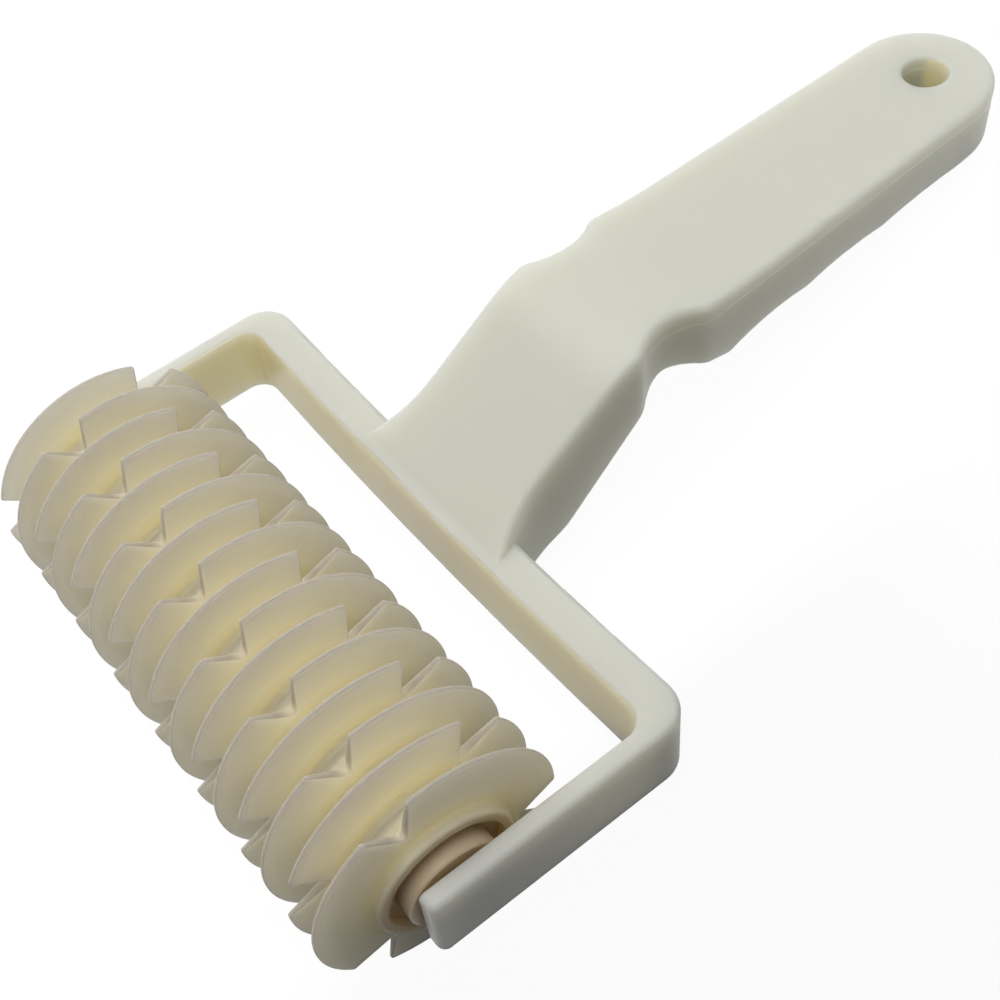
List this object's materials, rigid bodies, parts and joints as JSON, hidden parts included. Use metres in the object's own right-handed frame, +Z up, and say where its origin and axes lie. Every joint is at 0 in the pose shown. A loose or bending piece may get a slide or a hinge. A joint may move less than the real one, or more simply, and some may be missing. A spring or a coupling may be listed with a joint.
{
  "type": "lattice roller cutter",
  "caption": "Hand roller with a row of notched plastic discs on a keyed spindle, carried in a moulded yoke and handle, that cuts broken lines in pastry so it opens into a lattice.",
  "frame": {"origin": "on the table, below the middle of the tool's box, with the tool lying on its discs and handle end", "axes": "+X along the roller's axis, +Y from the roller to the handle's end, +Z up from the table"},
  "size_m": [0.1228, 0.1948, 0.0454],
  "materials": {
    "frame_plastic": "satin ivory moulding",
    "disc_plastic": "slightly translucent cream moulding",
    "pivot_plastic": "plain cream moulding"
  },
  "bodies": {
    "frame": {"handle_frame": "frame_plastic"},
    "roller": {"cutter_disc_01": "disc_plastic", "cutter_disc_02": "disc_plastic", "cutter_disc_03": "disc_plastic", "cutter_disc_04": "disc_plastic", "cutter_disc_05": "disc_plastic", "cutter_disc_06": "disc_plastic", "cutter_disc_07": "disc_plastic", "cutter_disc_08": "disc_plastic", "cutter_disc_09": "disc_plastic", "cutter_disc_10": "disc_plastic", "cutter_disc_11": "disc_plastic", "cutter_disc_12": "disc_plastic", "cutter_disc_13": "disc_plastic", "cutter_disc_14": "disc_plastic", "cutter_disc_15": "disc_plastic", "cutter_disc_16": "disc_plastic", "spindle": "pivot_plastic", "pivot_bush_right": "pivot_plastic", "pivot_bush_left": "pivot_plastic"}
  },
  "joints": [
    {"name": "roller_spin", "type": "hinge", "parent": "frame", "child": "roller", "pos_m": [0, -0.07471, 0.0227], "axis": [1, 0, 0], "continuous": true}
  ]
}
